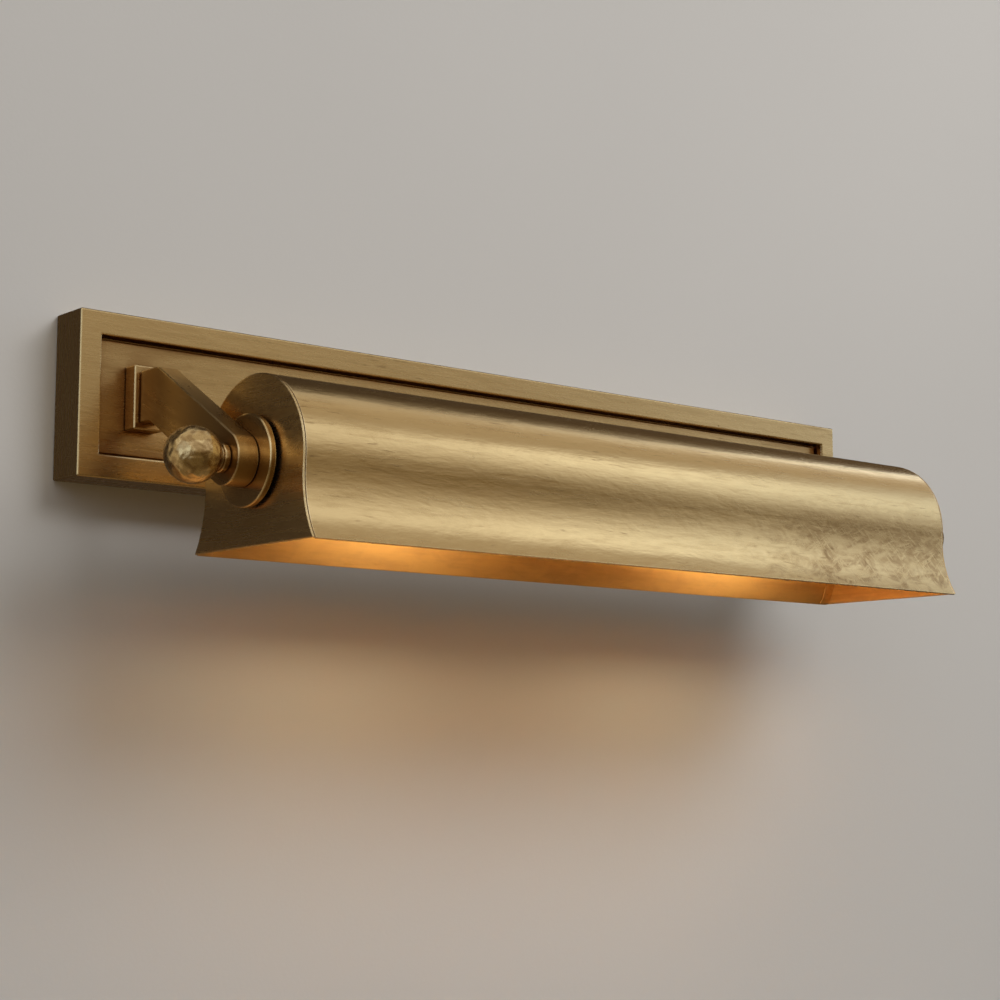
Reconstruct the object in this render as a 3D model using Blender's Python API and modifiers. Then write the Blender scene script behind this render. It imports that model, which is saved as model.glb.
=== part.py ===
"""Brass picture light: a trough shade that tilts between two arms on a framed backplate.

Frame: the origin is the centre of the backplate's rear face, which lies on the wall.
+X runs along the light to the viewer's right, -Y points out of the wall, +Z is up.
All lengths are metres. "s" is a distance from the middle of the light along X, so a
left-hand piece stands at x = -s and its right-hand twin at x = +s.
"""
from math import asin, cos, pi, radians, sin, tan

import bmesh
import bpy
from mathutils import Matrix, Vector

COLLECTION = "picture_light"
GAP = 0.0003                    # left between pieces that rest on each other
SIDES = (("left", -1), ("right", 1))

# Backplate: a folded frame with a flat border round a lower panel
PLATE_LENGTH = 0.610
PLATE_HEIGHT = 0.091
PLATE_DEPTH = 0.0271
PLATE_WALL = 0.0016
BORDER = 0.0129
PANEL_RECESS = 0.0058
PANEL_GROOVE = 0.0017
PANEL_THICK = 0.0030
LEDGE_OPENING = (0.500, 0.040)
FOLD_BEVEL = 0.0006

HALF_LENGTH = PLATE_LENGTH / 2
HALF_HEIGHT = PLATE_HEIGHT / 2
POCKET = (HALF_LENGTH - BORDER, HALF_HEIGHT - BORDER)
PANEL_FRONT = -PLATE_DEPTH + PANEL_RECESS
PANEL_BACK = PANEL_FRONT + PANEL_THICK
LEDGE_FRONT = PANEL_BACK + GAP
LEDGE_BACK = LEDGE_FRONT + PLATE_WALL

# Arms: flat bars that leave square bases and slope down to the pivot
ARM_S = 0.26525                 # middle of the arm's thickness
ARM_THICK = 0.0121
ARM_WIDTH = 0.0282
ARM_SLOPE = radians(31.6)
ARM_CORNER_RADIUS = 0.007
ARM_ROOT_CHAMFER = 0.0013
ARM_EDGE = 0.0004
BASE_SIZE = (0.0181, 0.0353)    # along X and along Z
BASE_FRONT = -0.0319
BASE_EDGE = 0.0006
ARM_ROOT = BASE_FRONT - GAP
ARM_SCREW_Z = 0.0085
ARM_SCREW = dict(shank=0.0023, length=0.0270, head=0.0041, head_height=0.0026)
ARM_SCREW_HOLE = 0.0028
ARM_TAPPED_HOLE = 0.0026
ARM_TAPPED_DEPTH = 0.0120

# Pivot: one axis along X for both arms
AXIS_Y = -0.1167
AXIS_Z = -0.0433
STUD_RADIUS = 0.0050
STUD_BORE = 0.0030
PIVOT_BORE = STUD_RADIUS + GAP
STUD_S = (0.2400, 0.2860)
STUD_WINDOW = 0.0060            # opening for the lead, centred in the arm's eye
STUD_WINDOW_DEPTH = 0.0019      # how far past the axis the opening reaches
STUD_LEAD_SETBACK = 0.0010      # the lead stops this far inside the arm's middle and the holder
DISC_RADIUS = 0.0244
DISC_S = (0.2553, 0.2589)
WASHER_RADIUS = 0.0195
WASHER_S = (0.2538, 0.2550)
NUT_RADIUS = 0.0085
NUT_S = (0.2470, 0.2520)

# Knob: a ball on a short neck with a collar that presses on the arm's eye
BALL_RADIUS = 0.0149
BALL_S = 0.2893
COLLAR_RADIUS = 0.0079
COLLAR_S = (0.2716, 0.2750)
NECK_RADIUS = 0.0064
KNOB_BORE_END = 0.2872
DRILL_POINT = 0.0010            # height of the cone at the end of a drilled hole

# Shade: a half-round dome that flares into two skirts, open underneath
SHADE_HALF = 0.2535
SHADE_WALL = 0.0010
DOME_RADIUS = 0.0458
FLARE_RADIUS = 0.0609
FLARE_ANGLE = radians(6)        # where the flare leaves the dome, below the middle
LIP_DROP = 0.0438               # the lips below the pivot axis
CAP_THICK = 0.0012
CAP_EDGE = 0.0004
CAP_FLANGE = 0.0080
FLANGE_LIFT = 0.0006            # the flange stops above the lips

# Lamps: two long tubular lamps, screwed into holders on the pivot studs
HOLDER_S = (0.1980, 0.2465)
HOLDER_FLOOR_S = 0.2385
HOLDER_RADIUS = 0.0178
HOLDER_BORE = 0.0146
HOLDER_NECK = 0.0095
HOLDER_BEAD = 0.0012            # how far the rim stands out from the barrel
HOLDER_RIM = 0.0208
HOLDER_SLOPE = 0.0040
HOLDER_SHOULDER = (0.0050, 0.0090, 0.0110)  # distances from the back
HOLDER_DISH = 0.0020
SCREW_CAP_S = (0.2120, 0.2370)
SCREW_CAP_RADIUS = 0.0131
SCREW_CAP_TIP = ((0.0035, 0.0), (0.0045, 0.0012), (0.0048, 0.0020), (0.0095, 0.0045))
SCREW_CAP_BEAD = 0.0015
GLASS_RADIUS = 0.0150
GLASS_S = (0.0500, 0.2115)
GLASS_WALL = 0.0008
GLASS_NECK = 0.0118
GLASS_NECK_LENGTH = 0.0080
GLASS_SHOULDER = ((0.0130, 0.0120), (0.0142, 0.0165), (GLASS_RADIUS, 0.0200))
THREAD_START = 0.0060
THREAD_PITCH = 0.0036
THREAD_DEPTH = 0.0009
THREAD_TURNS = 4

# Wall bracket and wiring behind the plate
BRACKET_HALF = (0.2000, 0.0415)
BRACKET_THICK = 0.0020
BRACKET_FLANGE = 0.0120
CABLE_HOLE = (0.0095, -0.0205)  # radius and height of the hole for the house cable
BOX_SLOT_S = 0.04445
SLOT_RADIUS = 0.0024
SLOT_HALF = 0.0060
WALL_HOLE_S = 0.1750
WALL_HOLE = 0.0026
TERMINAL_SIZE = (0.0520, 0.0110, 0.0160)
TERMINAL_Z = 0.0260
TERMINAL_PITCH = 0.0120
TERMINAL_ENTRY = (0.0026, 0.0050, 0.0030)   # radius, then depth from the front and from below
TERMINAL_SCREW_X = 0.0215
TERMINAL_SCREW = dict(shank=0.0015, length=TERMINAL_SIZE[1] + 0.0018, head=0.0029, head_height=0.0018)
TERMINAL_SCREW_HOLE = 0.0018
EARTH_SCREW_PLACE = (0.0620, 0.0260)        # x and z
EARTH_SCREW = dict(shank=0.0020, length=0.0022, head=0.0042, head_height=0.0024)
EARTH_SCREW_HOLE = 0.0023
EARTH_LEAD_RADIUS = 0.0010
EARTH_LEAD_BEND = 0.0011
EARTH_LEAD_DROP = 0.0060        # how far it leaves the terminal before it turns
EARTH_LEAD_Y = -0.0040          # where it ends under the screw's head
EARTH_LEAD_RISE = 0.0024
LEAD_RADIUS = 0.0022
LEAD_BEND = 0.0036
LEAD_OVERRUN = 0.0012           # how far the lead in the arm stops short of the stud
LEAD_HOLE = 0.0033
LEAD_DEPTH = -0.0090            # y of the leads where they run behind the plate
SET_SCREW_X = 0.1500
SET_SCREW_Y = -0.0080
SET_SCREW_RADIUS = 0.0017
SET_SCREW_HOLE = 0.0020
SET_SCREW_SOCKET = (0.0008, 0.0016)         # radius and depth
PANEL_SCREW_X = 0.1600
PANEL_SCREW_Z = 0.0262
PANEL_SCREW = dict(shank=0.0015, length=0.0034, head=0.0028, head_height=0.0020)
PANEL_SCREW_HOLE = 0.0019
PANEL_TAPPED_DEPTH = 0.0022

FINE_EDGE = 0.0004              # broken edges of pressed and cut pieces
TURNED_EDGE = 0.0005
MOULDED_EDGE = 0.0008

SMOOTH_ANGLE = radians(32)
BEVEL_ANGLE = radians(50)       # edges sharper than this are broken
FLAT_ANGLE = radians(0.5)       # faces closer than this to flat are made one
MERGE_DISTANCE = 0.00001
TURNED_STEPS = 24
SMALL_TURNED_STEPS = 20
LARGE_TURNED_STEPS = 48
KNOB_STEPS = 32
SCREW_STEPS = 12
THREAD_STEPS = 16
CORNER_STEPS = 3
EYE_STEPS = 24
FLARE_STEPS = 6
DOME_STEPS = 32
TIP_STEPS = 6
BALL_STEPS = 14
HOLE_SIDES = 12
PIVOT_HOLE_SIDES = 20
CABLE_HOLE_SIDES = 24
NUT_HOLE_SIDES = 16
TO_YZ = Matrix(((0, 0, 1), (1, 0, 0), (0, 1, 0))).to_4x4()   # a flat outline, stood on edge


# ---------------------------------------------------------------- scene and materials

def clear_scene():
    for thing in list(bpy.data.objects):
        bpy.data.objects.remove(thing, do_unlink=True)


def new_collection(name):
    collection = bpy.data.collections.new(name)
    bpy.context.scene.collection.children.link(collection)
    return collection


def material(name, colour, roughness, metallic, alpha=1.0):
    made = bpy.data.materials.get(name)
    if made:
        return made
    made = bpy.data.materials.new(name)
    made.use_nodes = True
    shader = made.node_tree.nodes["Principled BSDF"]
    shader.inputs["Base Color"].default_value = (*colour, 1.0)
    shader.inputs["Roughness"].default_value = roughness
    shader.inputs["Metallic"].default_value = metallic
    shader.inputs["Alpha"].default_value = alpha
    made.diffuse_color = (*colour, alpha)
    return made


def brass():
    return material("aged_brass", (0.36, 0.24, 0.115), 0.34, 1.0)


def polished_brass():
    return material("polished_brass", (0.50, 0.37, 0.17), 0.20, 1.0)


def steel():
    return material("zinc_steel", (0.50, 0.50, 0.50), 0.40, 1.0)


def fibre():
    return material("black_fibre", (0.02, 0.018, 0.016), 0.80, 0.0)


def thermoset():
    return material("moulded_thermoset", (0.78, 0.75, 0.68), 0.25, 0.0)


def lamp_metal():
    return material("lamp_cap_metal", (0.62, 0.58, 0.48), 0.30, 1.0)


def glass():
    return material("lamp_glass", (0.95, 0.86, 0.70), 0.05, 0.0, 0.35)


def lead_sheath():
    return material("lead_sheath", (0.05, 0.035, 0.03), 0.55, 0.0)


def earth_sheath():
    return material("earth_sheath", (0.10, 0.32, 0.07), 0.50, 0.0)


# ---------------------------------------------------------------- modelling helpers

def add_object(name, mesh, surface, location=(0, 0, 0), collection=COLLECTION):
    made = bpy.data.objects.new(name, mesh)
    bpy.data.collections[collection].objects.link(made)
    made.location = location
    if surface:
        mesh.materials.clear()
        mesh.materials.append(surface)
    return made


def mesh_from(bm, name):
    bmesh.ops.recalc_face_normals(bm, faces=bm.faces)
    mesh = bpy.data.meshes.new(name)
    bm.to_mesh(mesh)
    bm.free()
    return mesh


def shade_round(mesh):
    mesh.shade_smooth()
    mesh.set_sharp_from_angle(angle=SMOOTH_ANGLE)


def box(name, size, centre, surface, edge=0.0, collection=COLLECTION):
    bm = bmesh.new()
    bmesh.ops.create_cube(bm, size=1.0, matrix=Matrix.Diagonal((*size, 1.0)))
    made = add_object(name, mesh_from(bm, name), surface, centre, collection)
    if edge:
        bevel(made, edge)
    return made


def bevel(target, width, segments=1):
    rounding = target.modifiers.new("edges", "BEVEL")
    rounding.width = width
    rounding.segments = segments
    rounding.limit_method = "ANGLE"
    rounding.angle_limit = BEVEL_ANGLE
    return rounding


def solidify(target, thickness):
    sheet = target.modifiers.new("sheet", "SOLIDIFY")
    sheet.thickness = thickness
    sheet.offset = -1.0
    sheet.use_even_offset = True
    return sheet


def boolean(target, tool, operation="DIFFERENCE"):
    step = target.modifiers.new(tool.name, "BOOLEAN")
    step.operation = operation
    step.object = tool
    step.solver = "EXACT"


def make_tool(tool):
    tool.hide_render = True
    tool.display_type = "WIRE"
    return tool


def bore(target, radius, length, centre, direction, sides=HOLE_SIDES):
    """Cut a round hole whose middle is at centre and which runs along direction."""
    name = f"{target.name}_bore_{len(target.modifiers)}"
    bm = bmesh.new()
    bmesh.ops.create_cone(bm, cap_ends=True, segments=sides, radius1=radius, radius2=radius, depth=length)
    cutter = add_object(name, mesh_from(bm, name), None, centre, "cutters")
    cutter.rotation_mode = "QUATERNION"
    cutter.rotation_quaternion = Vector(direction).to_track_quat("Z", "Y")
    boolean(target, make_tool(cutter))


def cut_box(target, size, centre):
    name = f"{target.name}_cut_{len(target.modifiers)}"
    boolean(target, make_tool(box(name, size, centre, None, collection="cutters")))


def turned(name, profile, surface, location, direction, closed=False, steps=TURNED_STEPS):
    """Turn a profile of (radius, height) about an axis; it runs down its outer side.

    A closed profile makes a ring, and an open one starts and ends on the axis.
    """
    bm = bmesh.new()
    points = [bm.verts.new((radius, 0.0, height)) for radius, height in profile]
    for first, second in zip(points, points[1:] + points[:1] if closed else points[1:]):
        bm.edges.new((first, second))
    outline = bpy.data.meshes.new(name)
    bm.to_mesh(outline)
    bm.free()
    lathe = bpy.data.objects.new(name + "_lathe", outline)
    bpy.context.scene.collection.objects.link(lathe)
    screw = lathe.modifiers.new("lathe", "SCREW")
    screw.steps = steps
    screw.render_steps = steps
    screw.use_merge_vertices = True
    screw.merge_threshold = MERGE_DISTANCE
    mesh = evaluated_mesh(lathe)
    turn = Vector(direction).to_track_quat("Z", "Y").to_matrix().to_4x4()
    mesh.transform(turn)
    shade_round(mesh)
    return add_object(name, mesh, surface, location)


def evaluated_mesh(source):
    """The mesh of a curve or a modified object; the source is removed."""
    bpy.context.view_layer.update()
    graph = bpy.context.evaluated_depsgraph_get()
    mesh = bpy.data.meshes.new_from_object(source.evaluated_get(graph))
    mesh.name = source.name
    bpy.data.objects.remove(source, do_unlink=True)
    return mesh


def flat_plate(name, outline, thickness, surface, location, collection=COLLECTION):
    """A flat outline of (y, z) points with its thickness along X, centred on location."""
    curve = bpy.data.curves.new(name, "CURVE")
    curve.dimensions = "2D"
    curve.fill_mode = "BOTH"
    curve.extrude = thickness / 2
    spline = curve.splines.new("POLY")
    spline.points.add(len(outline) - 1)
    for point, (y, z) in zip(spline.points, outline):
        point.co = (y, z, 0.0, 1.0)
    spline.use_cyclic_u = True
    source = bpy.data.objects.new(name, curve)
    bpy.context.scene.collection.objects.link(source)
    mesh = evaluated_mesh(source)
    mesh.transform(TO_YZ)
    weld(mesh)
    return add_object(name, mesh, surface, location, collection)


def weld(mesh):
    """Join a curve's loose caps to its sides, and make each cap one face again."""
    bm = bmesh.new()
    bm.from_mesh(mesh)
    bmesh.ops.remove_doubles(bm, verts=bm.verts, dist=MERGE_DISTANCE)
    bmesh.ops.recalc_face_normals(bm, faces=bm.faces)
    bmesh.ops.dissolve_limit(bm, angle_limit=FLAT_ANGLE, verts=bm.verts, edges=bm.edges)
    bm.to_mesh(mesh)
    bm.free()
    shade_round(mesh)


def wire(name, points, radius, surface):
    curve = bpy.data.curves.new(name, "CURVE")
    curve.dimensions = "3D"
    curve.bevel_depth = radius
    curve.bevel_resolution = 2
    curve.use_fill_caps = True
    curve.render_resolution_u = 0
    spline = curve.splines.new("POLY")
    spline.points.add(len(points) - 1)
    for point, place in zip(spline.points, points):
        point.co = (*place, 1.0)
    curve.materials.append(surface)
    made = bpy.data.objects.new(name, curve)
    bpy.data.collections[COLLECTION].objects.link(made)
    return made


def rounded_path(corners, radius, steps=4):
    """A line through corners, with each inner corner rounded by an arc of short chords."""
    path = [Vector(corners[0])]
    for before, corner, after in zip(corners, corners[1:], corners[2:]):
        corner = Vector(corner)
        back = (Vector(before) - corner).normalized()
        ahead = (Vector(after) - corner).normalized()
        half = back.angle(ahead) / 2
        reach = radius / tan(half)
        middle = corner + (back + ahead).normalized() * (radius / sin(half))
        start = (corner + back * reach - middle).normalized()
        end = (corner + ahead * reach - middle).normalized()
        path += [middle + start.slerp(end, step / steps) * radius for step in range(steps + 1)]
    path.append(Vector(corners[-1]))
    return path


def arc(centre, radius, start, end, steps):
    angles = [start + (end - start) * step / steps for step in range(steps + 1)]
    return [(centre[0] + radius * cos(angle), centre[1] + radius * sin(angle)) for angle in angles]


def screw_profile(shank, length, head, head_height):
    """A pan-head screw: the head's underside is at height 0 and the shank runs down."""
    point = shank * 0.35
    recess = head * 0.35
    recess_floor = head_height * 0.55
    return [
        (0.0, recess_floor), (recess, recess_floor), (recess + head * 0.05, head_height),
        (head * 0.75, head_height * 0.92), (head, head_height * 0.35), (head, 0.0),
        (shank, 0.0), (shank, point - length), (shank - point, -length), (0.0, -length),
    ]


def ring_profile(outer, inner, low, high):
    """The closed profile of a plain ring between two heights."""
    return [(inner, high), (outer, high), (outer, low), (inner, low)]


def broken_ring_profile(outer, inner, low, high):
    """The same with its two outer edges broken."""
    edge = TURNED_EDGE
    return [(inner, high), (outer - edge, high), (outer, high - edge),
            (outer, low + edge), (outer - edge, low), (inner, low)]


# ---------------------------------------------------------------- backplate and wall bracket

def grow_ring(bm, rim, half_x, half_z, y):
    """Extrude a four-edged rim and move its corners to a new rectangle."""
    grown = bmesh.ops.extrude_edge_only(bm, edges=rim)["geom"]
    for corner in (item for item in grown if isinstance(item, bmesh.types.BMVert)):
        corner.co = (half_x if corner.co.x > 0 else -half_x, y, half_z if corner.co.z > 0 else -half_z)
    return [item for item in grown if isinstance(item, bmesh.types.BMEdge)]


def make_frame():
    """The folded frame: side walls, front border, pocket wall and the ledge under the panel."""
    bm = bmesh.new()
    bmesh.ops.create_grid(bm, x_segments=1, y_segments=1, size=1.0)
    for corner in bm.verts:
        corner.co = (HALF_LENGTH * corner.co.x, 0.0, HALF_HEIGHT * corner.co.y)
    bmesh.ops.delete(bm, geom=list(bm.faces), context="FACES_ONLY")
    rim = list(bm.edges)
    rim = grow_ring(bm, rim, HALF_LENGTH, HALF_HEIGHT, -PLATE_DEPTH)
    rim = grow_ring(bm, rim, *POCKET, -PLATE_DEPTH)
    rim = grow_ring(bm, rim, *POCKET, LEDGE_FRONT)
    grow_ring(bm, rim, LEDGE_OPENING[0] / 2, LEDGE_OPENING[1] / 2, LEDGE_FRONT)
    bmesh.ops.recalc_face_normals(bm, faces=bm.faces)
    bm.faces.ensure_lookup_table()
    border = min(bm.faces, key=lambda face: face.calc_center_median().y)
    if border.normal.y > 0:
        bmesh.ops.reverse_faces(bm, faces=bm.faces)
    mesh = bpy.data.meshes.new("backplate_frame")
    bm.to_mesh(mesh)
    bm.free()
    frame = add_object("backplate_frame", mesh, brass())
    solidify(frame, PLATE_WALL)
    bevel(frame, FOLD_BEVEL)
    through = 3 * PLATE_WALL
    for _, sign in SIDES:
        bore(frame, LEAD_HOLE, through, (sign * ARM_S, LEDGE_FRONT, 0), (0, 1, 0))
        for z in (-ARM_SCREW_Z, ARM_SCREW_Z):
            bore(frame, ARM_SCREW_HOLE, through, (sign * ARM_S, LEDGE_FRONT, z), (0, 1, 0))
        for z in (-PANEL_SCREW_Z, PANEL_SCREW_Z):
            bore(frame, PANEL_SCREW_HOLE, through, (sign * PANEL_SCREW_X, LEDGE_FRONT, z), (0, 1, 0))
        bore(frame, SET_SCREW_HOLE, through, (sign * SET_SCREW_X, SET_SCREW_Y, HALF_HEIGHT), (0, 0, 1))


def make_panel():
    """The raised field of the plate, with holes for the arms and blind holes for its screws."""
    size = (2 * (POCKET[0] - PANEL_GROOVE), PANEL_THICK, 2 * (POCKET[1] - PANEL_GROOVE))
    panel = box("backplate_panel", size, (0, (PANEL_FRONT + PANEL_BACK) / 2, 0), brass(), FINE_EDGE)
    through = 3 * PANEL_THICK
    for _, sign in SIDES:
        bore(panel, LEAD_HOLE, through, (sign * ARM_S, PANEL_FRONT, 0), (0, 1, 0))
        for z in (-ARM_SCREW_Z, ARM_SCREW_Z):
            bore(panel, ARM_SCREW_HOLE, through, (sign * ARM_S, PANEL_FRONT, z), (0, 1, 0))
        for z in (-PANEL_SCREW_Z, PANEL_SCREW_Z):
            place = (sign * PANEL_SCREW_X, PANEL_BACK, z)
            bore(panel, PANEL_SCREW_HOLE, 2 * PANEL_TAPPED_DEPTH, place, (0, 1, 0))


def make_panel_screws():
    profile = screw_profile(**PANEL_SCREW)
    for side, sign in SIDES:
        for level, z in (("lower", -PANEL_SCREW_Z), ("upper", PANEL_SCREW_Z)):
            place = (sign * PANEL_SCREW_X, LEDGE_BACK + GAP, z)
            turned(f"panel_screw_{side}_{level}", profile, steel(), place, (0, 1, 0), steps=SCREW_STEPS)


def make_bracket():
    """The steel channel that is fixed to the wall and carries the plate."""
    half_x, half_z = BRACKET_HALF
    bm = bmesh.new()
    bmesh.ops.create_grid(bm, x_segments=1, y_segments=1, size=1.0)
    for corner in bm.verts:
        corner.co = (half_x * corner.co.x, 0.0, half_z * corner.co.y)
    long_edges = [edge for edge in bm.edges if abs(edge.verts[0].co.z - edge.verts[1].co.z) < GAP]
    folded = bmesh.ops.extrude_edge_only(bm, edges=long_edges)["geom"]
    for corner in (item for item in folded if isinstance(item, bmesh.types.BMVert)):
        corner.co.y = -BRACKET_FLANGE
    bmesh.ops.recalc_face_normals(bm, faces=bm.faces)
    base = max(bm.faces, key=lambda face: face.calc_area())
    if base.normal.y < 0:
        bmesh.ops.reverse_faces(bm, faces=bm.faces)
    mesh = bpy.data.meshes.new("wall_bracket")
    bm.to_mesh(mesh)
    bm.free()
    bracket = add_object("wall_bracket", mesh, steel())
    solidify(bracket, BRACKET_THICK)
    bevel(bracket, FINE_EDGE)
    through = 3 * BRACKET_THICK
    cable_radius, cable_z = CABLE_HOLE
    bore(bracket, cable_radius, through, (0, -BRACKET_THICK / 2, cable_z), (0, 1, 0), CABLE_HOLE_SIDES)
    for _, sign in SIDES:
        cut_box(bracket, (2 * SLOT_HALF, through, 2 * SLOT_RADIUS), (sign * BOX_SLOT_S, 0, 0))
        bore(bracket, WALL_HOLE, through, (sign * WALL_HOLE_S, 0, 0), (0, 1, 0))
        bore(bracket, TERMINAL_SCREW_HOLE, through, (sign * TERMINAL_SCREW_X, 0, TERMINAL_Z), (0, 1, 0))
    earth_x, earth_z = EARTH_SCREW_PLACE
    bore(bracket, EARTH_SCREW_HOLE, through, (earth_x, 0, earth_z), (0, 1, 0))


def make_set_screws():
    """Two grub screws in the plate's top edge, which bear on the bracket's upper flange."""
    low = BRACKET_HALF[1] + GAP - HALF_HEIGHT
    socket, depth = SET_SCREW_SOCKET
    radius = SET_SCREW_RADIUS
    profile = [(0.0, -depth), (socket, -depth), (socket + GAP / 3, -GAP), (radius - GAP, -GAP),
               (radius, -2 * GAP), (radius, low + 2 * GAP), (radius - TURNED_EDGE, low), (0.0, low)]
    for side, sign in SIDES:
        place = (sign * SET_SCREW_X, SET_SCREW_Y, HALF_HEIGHT)
        turned(f"set_screw_{side}", profile, steel(), place, (0, 0, 1), steps=SCREW_STEPS)


# ---------------------------------------------------------------- wiring behind the plate

def make_terminal_block():
    _, depth, height = TERMINAL_SIZE
    middle = -BRACKET_THICK - GAP - depth / 2
    block = box("terminal_block", TERMINAL_SIZE, (0, middle, TERMINAL_Z), thermoset(), MOULDED_EDGE)
    front = middle - depth / 2
    radius, front_depth, low_depth = TERMINAL_ENTRY
    for x in (-TERMINAL_PITCH, 0.0, TERMINAL_PITCH):
        bore(block, radius, 2 * front_depth, (x, front, TERMINAL_Z), (0, 1, 0))
        bore(block, radius, 2 * low_depth, (x, middle, TERMINAL_Z - height / 2), (0, 0, 1))
    profile = screw_profile(**TERMINAL_SCREW)
    for side, sign in SIDES:
        place = (sign * TERMINAL_SCREW_X, middle, TERMINAL_Z)
        bore(block, TERMINAL_SCREW_HOLE, 2 * depth, place, (0, 1, 0))
        place = (sign * TERMINAL_SCREW_X, front - GAP, TERMINAL_Z)
        turned(f"terminal_screw_{side}", profile, steel(), place, (0, -1, 0), steps=SCREW_STEPS)


def make_earth():
    """The earth screw, and the lead that runs up from the terminal block to its head."""
    x, z = EARTH_SCREW_PLACE
    green = material("earth_green", (0.05, 0.30, 0.10), 0.35, 0.9)
    place = (x, -BRACKET_THICK - GAP, z)
    turned("earth_screw", screw_profile(**EARTH_SCREW), green, place, (0, -1, 0), steps=SCREW_STEPS)
    pole_z = TERMINAL_Z - TERMINAL_SIZE[2] / 2 - GAP
    turn_z = pole_z - EARTH_LEAD_DROP
    end_z = z - EARTH_SCREW["head"] - GAP
    corners = [(TERMINAL_PITCH, LEAD_DEPTH, pole_z), (TERMINAL_PITCH, LEAD_DEPTH, turn_z),
               (x, LEAD_DEPTH, turn_z), (x, LEAD_DEPTH, end_z - EARTH_LEAD_RISE),
               (x, EARTH_LEAD_Y, end_z - EARTH_LEAD_RISE), (x, EARTH_LEAD_Y, end_z)]
    path = rounded_path(corners, EARTH_LEAD_BEND, CORNER_STEPS)
    wire("earth_lead", path, EARTH_LEAD_RADIUS, earth_sheath())


def make_supply_leads():
    """A lead for each lamp: along the plate, through the base and down inside the arm."""
    bend = Vector((0, cos(ARM_SLOPE), sin(ARM_SLOPE)))
    axis = Vector((0, AXIS_Y, AXIS_Z))
    crook = axis + bend * (-AXIS_Z / sin(ARM_SLOPE))
    tip = axis + bend * (STUD_RADIUS + LEAD_OVERRUN)
    for side, sign in SIDES:
        pole_x = -TERMINAL_PITCH if sign < 0 else 0.0
        pole = (pole_x, LEAD_DEPTH, TERMINAL_Z - TERMINAL_SIZE[2] / 2 - GAP)
        across = Vector((sign * ARM_S, 0, 0))
        corners = [pole, (pole_x, LEAD_DEPTH, 0.0), (sign * ARM_S, LEAD_DEPTH, 0.0),
                   crook + across, tip + across]
        wire(f"supply_lead_{side}", rounded_path(corners, LEAD_BEND), LEAD_RADIUS, lead_sheath())


# ---------------------------------------------------------------- arms and pivots

def arm_outline():
    """Root, sloping bar and round eye, in the (y, z) plane."""
    half = ARM_WIDTH / 2
    normal = (-sin(ARM_SLOPE), cos(ARM_SLOPE))
    # The slope's upper edge meets the root's top, and its lower edge the root's bottom
    top_run = (half - AXIS_Z - half * normal[1]) / sin(ARM_SLOPE)
    low_run = (-half - AXIS_Z + half * normal[1]) / sin(ARM_SLOPE)
    top_y = AXIS_Y + half * normal[0] + top_run * cos(ARM_SLOPE)
    low_y = AXIS_Y - half * normal[0] + low_run * cos(ARM_SLOPE)
    reach = ARM_CORNER_RADIUS * tan(ARM_SLOPE / 2)
    up = pi / 2
    outline = [(ARM_ROOT, -half), (ARM_ROOT, half)]
    outline += arc((top_y + reach, half - ARM_CORNER_RADIUS), ARM_CORNER_RADIUS, up, up + ARM_SLOPE,
                   CORNER_STEPS)
    outline += arc((AXIS_Y, AXIS_Z), half, up + ARM_SLOPE, up + ARM_SLOPE + pi, EYE_STEPS)
    outline += arc((low_y + reach, -half - ARM_CORNER_RADIUS), ARM_CORNER_RADIUS, up + ARM_SLOPE, up,
                   CORNER_STEPS)
    return outline


def chamfer_root(mesh):
    """Break the four edges round the arm's flat root more deeply than the others."""
    bm = bmesh.new()
    bm.from_mesh(mesh)
    root = [edge for edge in bm.edges if all(abs(vert.co.y - ARM_ROOT) < GAP / 2 for vert in edge.verts)]
    bmesh.ops.bevel(bm, geom=root, offset=ARM_ROOT_CHAMFER, segments=1, affect="EDGES", profile=0.5)
    bm.to_mesh(mesh)
    bm.free()


def make_arms():
    slope = Vector((0, cos(ARM_SLOPE), sin(ARM_SLOPE)))
    run = -AXIS_Z / sin(ARM_SLOPE)
    for side, sign in SIDES:
        arm = flat_plate(f"arm_{side}", arm_outline(), ARM_THICK, brass(), (sign * ARM_S, 0, 0))
        chamfer_root(arm.data)
        bevel(arm, ARM_EDGE)
        axis = Vector((sign * ARM_S, AXIS_Y, AXIS_Z))
        crook = axis + slope * run
        bore(arm, PIVOT_BORE, 2 * ARM_THICK, axis, (1, 0, 0), PIVOT_HOLE_SIDES)
        sloping = run + DRILL_POINT
        bore(arm, STUD_BORE, sloping, axis + slope * (sloping / 2), slope)
        level = ARM_ROOT - crook.y + DRILL_POINT
        bore(arm, STUD_BORE, level, crook + Vector((0, level / 2, 0)), (0, 1, 0))
        for z in (-ARM_SCREW_Z, ARM_SCREW_Z):
            bore(arm, ARM_TAPPED_HOLE, 2 * ARM_TAPPED_DEPTH, (sign * ARM_S, ARM_ROOT, z), (0, 1, 0))


def make_arm_bases():
    depth = PANEL_FRONT - GAP - BASE_FRONT
    for side, sign in SIDES:
        middle = (sign * ARM_S, BASE_FRONT + depth / 2, 0)
        base = box(f"arm_base_{side}", (BASE_SIZE[0], depth, BASE_SIZE[1]), middle, brass(), BASE_EDGE)
        bore(base, LEAD_HOLE, 2 * depth, middle, (0, 1, 0))
        for z in (-ARM_SCREW_Z, ARM_SCREW_Z):
            bore(base, ARM_SCREW_HOLE, 2 * depth, (sign * ARM_S, middle[1], z), (0, 1, 0))


def make_arm_screws():
    """Long screws from behind, which clamp ledge, panel and base to the arm's root."""
    profile = screw_profile(**ARM_SCREW)
    for side, sign in SIDES:
        for level, z in (("lower", -ARM_SCREW_Z), ("upper", ARM_SCREW_Z)):
            place = (sign * ARM_S, LEDGE_BACK + GAP, z)
            turned(f"arm_screw_{side}_{level}", profile, steel(), place, (0, 1, 0), steps=SCREW_STEPS)


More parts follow.
